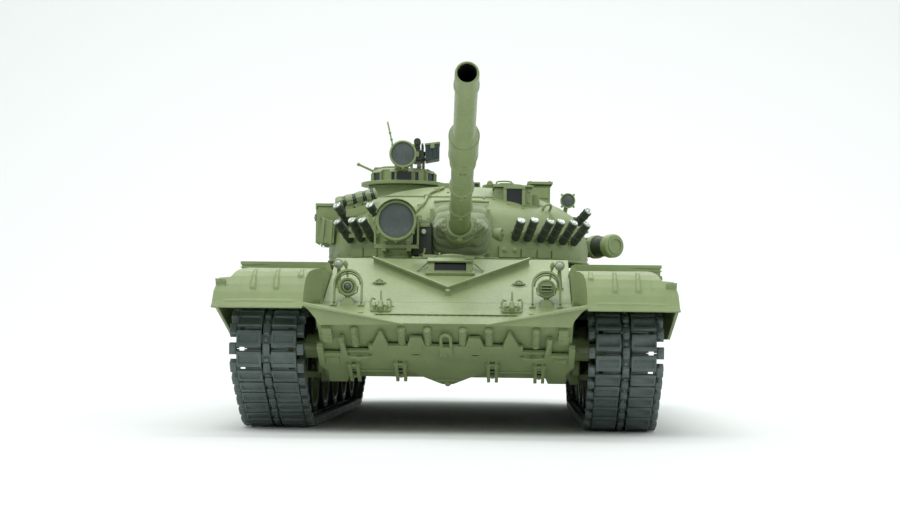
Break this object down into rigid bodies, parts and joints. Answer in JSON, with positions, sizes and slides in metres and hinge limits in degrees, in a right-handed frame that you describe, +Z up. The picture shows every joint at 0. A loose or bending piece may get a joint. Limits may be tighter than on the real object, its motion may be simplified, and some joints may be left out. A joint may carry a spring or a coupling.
{
  "type": "radio-controlled tank",
  "caption": "Radio-controlled scale battle tank with driven sprockets, linked tracks, sprung road wheels, traversing turret and an elevating, recoiling main gun.",
  "frame": {"origin": "middle of the whole tank's box, gun and fuel drums included, on the ground under the tracks", "axes": "+Z up, -Y is the way the hull faces, +X is the tank's left"},
  "size_m": [0.224, 0.6236, 0.1741],
  "materials": {
    "green_plastic": "satin olive green moulded and painted plastic",
    "gun_paint": "satin olive green paint on a moulded tube",
    "canvas": "woven canvas, painted olive",
    "gear_metal": "machined steel",
    "black_plastic": "matte black plastic",
    "launcher_black": "dark green-black plastic",
    "track_graphite": "graphite grey plastic with worn edges",
    "tyre_rubber": "matte black rubber",
    "lamp_glass": "dark lens",
    "lens_clear": "clear ribbed lens"
  },
  "bodies": {
    "hull": {"lower_hull": "green_plastic", "upper_hull": "green_plastic", "mudguards": "green_plastic", "fenders": "green_plastic", "entrenching_blade": "green_plastic", "rear_stores": "green_plastic", "headlights": "green_plastic", "drive_units": "gear_metal", "electronics": "black_plastic", "track_l": "track_graphite", "track_r": "track_graphite"},
    "pinion": {"traverse_pinion": "gear_metal"},
    "turret": {"turret_shell": "green_plastic", "turret_ring": "gear_metal", "turret_bins": "green_plastic", "smoke_launchers": "launcher_black", "elevation_servo": "black_plastic", "mantlet_cover": "canvas"},
    "gun_cradle": {"mantlet": "green_plastic"},
    "gun": {"gun_barrel": "gun_paint"},
    "lamp": {"searchlight": "green_plastic"},
    "cupola": {"cupola": "green_plastic"},
    "commander_lid": {"commander_hatch": "green_plastic"},
    "gunner_lid": {"gunner_hatch": "green_plastic"},
    "driver_lid": {"driver_hatch": "green_plastic"},
    "aa_gun": {"aa_gun": "launcher_black"},
    "sprocket_l": {"sprocket_l": "green_plastic"},
    "idler_l": {"idler_l": "green_plastic"},
    "roller_l1": {"return_roller_l1": "tyre_rubber"},
    "roller_l2": {"return_roller_l2": "tyre_rubber"},
    "roller_l3": {"return_roller_l3": "tyre_rubber"},
    "arm_l1": {"swing_arm_l1": "green_plastic"},
    "wheel_l1": {"road_wheel_l1": "tyre_rubber"},
    "arm_l2": {"swing_arm_l2": "green_plastic"},
    "wheel_l2": {"road_wheel_l2": "tyre_rubber"},
    "arm_l3": {"swing_arm_l3": "green_plastic"},
    "wheel_l3": {"road_wheel_l3": "tyre_rubber"},
    "arm_l4": {"swing_arm_l4": "green_plastic"},
    "wheel_l4": {"road_wheel_l4": "tyre_rubber"},
    "arm_l5": {"swing_arm_l5": "green_plastic"},
    "wheel_l5": {"road_wheel_l5": "tyre_rubber"},
    "arm_l6": {"swing_arm_l6": "green_plastic"},
    "wheel_l6": {"road_wheel_l6": "tyre_rubber"},
    "sprocket_r": {"sprocket_r": "green_plastic"},
    "idler_r": {"idler_r": "green_plastic"},
    "roller_r1": {"return_roller_r1": "tyre_rubber"},
    "roller_r2": {"return_roller_r2": "tyre_rubber"},
    "roller_r3": {"return_roller_r3": "tyre_rubber"},
    "arm_r1": {"swing_arm_r1": "green_plastic"},
    "wheel_r1": {"road_wheel_r1": "tyre_rubber"},
    "arm_r2": {"swing_arm_r2": "green_plastic"},
    "wheel_r2": {"road_wheel_r2": "tyre_rubber"},
    "arm_r3": {"swing_arm_r3": "green_plastic"},
    "wheel_r3": {"road_wheel_r3": "tyre_rubber"},
    "arm_r4": {"swing_arm_r4": "green_plastic"},
    "wheel_r4": {"road_wheel_r4": "tyre_rubber"},
    "arm_r5": {"swing_arm_r5": "green_plastic"},
    "wheel_r5": {"road_wheel_r5": "tyre_rubber"},
    "arm_r6": {"swing_arm_r6": "green_plastic"},
    "wheel_r6": {"road_wheel_r6": "tyre_rubber"}
  },
  "joints": [
    {"name": "turret_traverse", "type": "hinge", "parent": "hull", "child": "turret", "pos_m": [0, 0.05381, 0.09], "axis": [0, 0, 1], "continuous": true},
    {"name": "traverse_pinion_spin", "type": "hinge", "parent": "hull", "child": "pinion", "pos_m": [0, 0.11501, 0.08], "axis": [0, 0, 1], "continuous": true},
    {"name": "gun_elevation", "type": "hinge", "parent": "turret", "child": "gun_cradle", "pos_m": [0.00275, -0.01614, 0.1032], "axis": [-0.9992, -0.0393, 0], "range_deg": [-12, 5.5], "deforming": ["mantlet_cover"]},
    {"name": "gun_recoil", "type": "slide", "parent": "gun_cradle", "child": "gun", "axis": [-0.0388, 0.9885, -0.1461], "range_m": [0, 0.008], "stiffness_N_per_m": 120, "springref_m": -0.004},
    {"name": "searchlight_elevation", "type": "hinge", "parent": "turret", "child": "lamp", "pos_m": [-0.0305, -0.03345, 0.0955], "axis": [-0.9992, -0.0393, 0], "range_deg": [-12, 5.5]},
    {"name": "cupola_traverse", "type": "hinge", "parent": "turret", "child": "cupola", "pos_m": [-0.03426, 0.07748, 0.14], "axis": [0, 0, 1], "continuous": true},
    {"name": "commander_hatch_hinge", "type": "hinge", "parent": "cupola", "child": "commander_lid", "pos_m": [-0.05124, 0.07682, 0.1472], "axis": [0.0393, -0.9992, 0], "range_deg": [0, 95]},
    {"name": "gunner_hatch_hinge", "type": "hinge", "parent": "turret", "child": "gunner_lid", "pos_m": [0.02541, 0.09484, 0.1368], "axis": [-0.9992, -0.0393, 0], "range_deg": [0, 100]},
    {"name": "driver_hatch_swing", "type": "hinge", "parent": "hull", "child": "driver_lid", "pos_m": [0.014, -0.04319, 0.0883], "axis": [0, 0, 1], "range_deg": [0, 80]},
    {"name": "aa_gun_elevation", "type": "hinge", "parent": "cupola", "child": "aa_gun", "pos_m": [-0.02592, 0.07681, 0.1535], "axis": [0.9992, 0.0393, 0], "range_deg": [-3, 15]},
    {"name": "sprocket_l_drive", "type": "hinge", "parent": "hull", "child": "sprocket_l", "pos_m": [0.0872, 0.24781, 0.044], "axis": [1, 0, 0], "continuous": true, "deforming": ["track_l"]},
    {"name": "idler_l_spin", "type": "hinge", "parent": "hull", "child": "idler_l", "pos_m": [0.0872, -0.10369, 0.042], "axis": [1, 0, 0], "continuous": true},
    {"name": "roller_l1_spin", "type": "hinge", "parent": "hull", "child": "roller_l1", "pos_m": [0.077, -0.04049, 0.04936], "axis": [1, 0, 0], "continuous": true},
    {"name": "roller_l2_spin", "type": "hinge", "parent": "hull", "child": "roller_l2", "pos_m": [0.077, 0.06631, 0.05047], "axis": [1, 0, 0], "continuous": true},
    {"name": "roller_l3_spin", "type": "hinge", "parent": "hull", "child": "roller_l3", "pos_m": [0.077, 0.17311, 0.05158], "axis": [1, 0, 0], "continuous": true},
    {"name": "arm_l1_swing", "type": "hinge", "parent": "hull", "child": "arm_l1", "pos_m": [0.061, -0.08219, 0.033], "axis": [1, 0, 0], "range_deg": [0, 10], "stiffness_Nm_per_rad": 0.1, "springref_deg": -8.59},
    {"name": "wheel_l1_spin", "type": "hinge", "parent": "arm_l1", "child": "wheel_l1", "pos_m": [0.0872, -0.06719, 0.0275], "axis": [1, 0, 0], "continuous": true},
    {"name": "arm_l2_swing", "type": "hinge", "parent": "hull", "child": "arm_l2", "pos_m": [0.061, -0.02879, 0.033], "axis": [1, 0, 0], "range_deg": [0, 10], "stiffness_Nm_per_rad": 0.1, "springref_deg": -8.59},
    {"name": "wheel_l2_spin", "type": "hinge", "parent": "arm_l2", "child": "wheel_l2", "pos_m": [0.0872, -0.01379, 0.0275], "axis": [1, 0, 0], "continuous": true},
    {"name": "arm_l3_swing", "type": "hinge", "parent": "hull", "child": "arm_l3", "pos_m": [0.061, 0.02461, 0.033], "axis": [1, 0, 0], "range_deg": [0, 10], "stiffness_Nm_per_rad": 0.1, "springref_deg": -8.59},
    {"name": "wheel_l3_spin", "type": "hinge", "parent": "arm_l3", "child": "wheel_l3", "pos_m": [0.0872, 0.03961, 0.0275], "axis": [1, 0, 0], "continuous": true},
    {"name": "arm_l4_swing", "type": "hinge", "parent": "hull", "child": "arm_l4", "pos_m": [0.061, 0.07801, 0.033], "axis": [1, 0, 0], "range_deg": [0, 10], "stiffness_Nm_per_rad": 0.1, "springref_deg": -8.59},
    {"name": "wheel_l4_spin", "type": "hinge", "parent": "arm_l4", "child": "wheel_l4", "pos_m": [0.0872, 0.09301, 0.0275], "axis": [1, 0, 0], "continuous": true},
    {"name": "arm_l5_swing", "type": "hinge", "parent": "hull", "child": "arm_l5", "pos_m": [0.061, 0.13141, 0.033], "axis": [1, 0, 0], "range_deg": [0, 10], "stiffness_Nm_per_rad": 0.1, "springref_deg": -8.59},
    {"name": "wheel_l5_spin", "type": "hinge", "parent": "arm_l5", "child": "wheel_l5", "pos_m": [0.0872, 0.14641, 0.0275], "axis": [1, 0, 0], "continuous": true},
    {"name": "arm_l6_swing", "type": "hinge", "parent": "hull", "child": "arm_l6", "pos_m": [0.061, 0.18481, 0.033], "axis": [1, 0, 0], "range_deg": [0, 10], "stiffness_Nm_per_rad": 0.1, "springref_deg": -8.59},
    {"name": "wheel_l6_spin", "type": "hinge", "parent": "arm_l6", "child": "wheel_l6", "pos_m": [0.0872, 0.19981, 0.0275], "axis": [1, 0, 0], "continuous": true},
    {"name": "sprocket_r_drive", "type": "hinge", "parent": "hull", "child": "sprocket_r", "pos_m": [-0.0872, 0.24781, 0.044], "axis": [1, 0, 0], "continuous": true, "deforming": ["track_r"]},
    {"name": "idler_r_spin", "type": "hinge", "parent": "hull", "child": "idler_r", "pos_m": [-0.0872, -0.10369, 0.042], "axis": [1, 0, 0], "continuous": true},
    {"name": "roller_r1_spin", "type": "hinge", "parent": "hull", "child": "roller_r1", "pos_m": [-0.077, -0.04049, 0.04936], "axis": [1, 0, 0], "continuous": true},
    {"name": "roller_r2_spin", "type": "hinge", "parent": "hull", "child": "roller_r2", "pos_m": [-0.077, 0.06631, 0.05047], "axis": [1, 0, 0], "continuous": true},
    {"name": "roller_r3_spin", "type": "hinge", "parent": "hull", "child": "roller_r3", "pos_m": [-0.077, 0.17311, 0.05158], "axis": [1, 0, 0], "continuous": true},
    {"name": "arm_r1_swing", "type": "hinge", "parent": "hull", "child": "arm_r1", "pos_m": [-0.061, -0.08219, 0.033], "axis": [1, 0, 0], "range_deg": [0, 10], "stiffness_Nm_per_rad": 0.1, "springref_deg": -8.59},
    {"name": "wheel_r1_spin", "type": "hinge", "parent": "arm_r1", "child": "wheel_r1", "pos_m": [-0.0872, -0.06719, 0.0275], "axis": [1, 0, 0], "continuous": true},
    {"name": "arm_r2_swing", "type": "hinge", "parent": "hull", "child": "arm_r2", "pos_m": [-0.061, -0.02879, 0.033], "axis": [1, 0, 0], "range_deg": [0, 10], "stiffness_Nm_per_rad": 0.1, "springref_deg": -8.59},
    {"name": "wheel_r2_spin", "type": "hinge", "parent": "arm_r2", "child": "wheel_r2", "pos_m": [-0.0872, -0.01379, 0.0275], "axis": [1, 0, 0], "continuous": true},
    {"name": "arm_r3_swing", "type": "hinge", "parent": "hull", "child": "arm_r3", "pos_m": [-0.061, 0.02461, 0.033], "axis": [1, 0, 0], "range_deg": [0, 10], "stiffness_Nm_per_rad": 0.1, "springref_deg": -8.59},
    {"name": "wheel_r3_spin", "type": "hinge", "parent": "arm_r3", "child": "wheel_r3", "pos_m": [-0.0872, 0.03961, 0.0275], "axis": [1, 0, 0], "continuous": true},
    {"name": "arm_r4_swing", "type": "hinge", "parent": "hull", "child": "arm_r4", "pos_m": [-0.061, 0.07801, 0.033], "axis": [1, 0, 0], "range_deg": [0, 10], "stiffness_Nm_per_rad": 0.1, "springref_deg": -8.59},
    {"name": "wheel_r4_spin", "type": "hinge", "parent": "arm_r4", "child": "wheel_r4", "pos_m": [-0.0872, 0.09301, 0.0275], "axis": [1, 0, 0], "continuous": true},
    {"name": "arm_r5_swing", "type": "hinge", "parent": "hull", "child": "arm_r5", "pos_m": [-0.061, 0.13141, 0.033], "axis": [1, 0, 0], "range_deg": [0, 10], "stiffness_Nm_per_rad": 0.1, "springref_deg": -8.59},
    {"name": "wheel_r5_spin", "type": "hinge", "parent": "arm_r5", "child": "wheel_r5", "pos_m": [-0.0872, 0.14641, 0.0275], "axis": [1, 0, 0], "continuous": true},
    {"name": "arm_r6_swing", "type": "hinge", "parent": "hull", "child": "arm_r6", "pos_m": [-0.061, 0.18481, 0.033], "axis": [1, 0, 0], "range_deg": [0, 10], "stiffness_Nm_per_rad": 0.1, "springref_deg": -8.59},
    {"name": "wheel_r6_spin", "type": "hinge", "parent": "arm_r6", "child": "wheel_r6", "pos_m": [-0.0872, 0.19981, 0.0275], "axis": [1, 0, 0], "continuous": true}
  ],
  "couplings": [
    {"joint": "traverse_pinion_spin", "follows": "turret_traverse", "ratio": -5},
    {"joint": "searchlight_elevation", "follows": "gun_elevation", "ratio": 1},
    {"joint": "idler_l_spin", "follows": "sprocket_l_drive", "ratio": 1.1},
    {"joint": "roller_l1_spin", "follows": "sprocket_l_drive", "ratio": 2.33},
    {"joint": "roller_l2_spin", "follows": "sprocket_l_drive", "ratio": 2.33},
    {"joint": "roller_l3_spin", "follows": "sprocket_l_drive", "ratio": 2.33},
    {"joint": "wheel_l1_spin", "follows": "sprocket_l_drive", "ratio": 0.8},
    {"joint": "wheel_l2_spin", "follows": "sprocket_l_drive", "ratio": 0.8},
    {"joint": "wheel_l3_spin", "follows": "sprocket_l_drive", "ratio": 0.8},
    {"joint": "wheel_l4_spin", "follows": "sprocket_l_drive", "ratio": 0.8},
    {"joint": "wheel_l5_spin", "follows": "sprocket_l_drive", "ratio": 0.8},
    {"joint": "wheel_l6_spin", "follows": "sprocket_l_drive", "ratio": 0.8},
    {"joint": "idler_r_spin", "follows": "sprocket_r_drive", "ratio": 1.1},
    {"joint": "roller_r1_spin", "follows": "sprocket_r_drive", "ratio": 2.33},
    {"joint": "roller_r2_spin", "follows": "sprocket_r_drive", "ratio": 2.33},
    {"joint": "roller_r3_spin", "follows": "sprocket_r_drive", "ratio": 2.33},
    {"joint": "wheel_r1_spin", "follows": "sprocket_r_drive", "ratio": 0.8},
    {"joint": "wheel_r2_spin", "follows": "sprocket_r_drive", "ratio": 0.8},
    {"joint": "wheel_r3_spin", "follows": "sprocket_r_drive", "ratio": 0.8},
    {"joint": "wheel_r4_spin", "follows": "sprocket_r_drive", "ratio": 0.8},
    {"joint": "wheel_r5_spin", "follows": "sprocket_r_drive", "ratio": 0.8},
    {"joint": "wheel_r6_spin", "follows": "sprocket_r_drive", "ratio": 0.8}
  ]
}
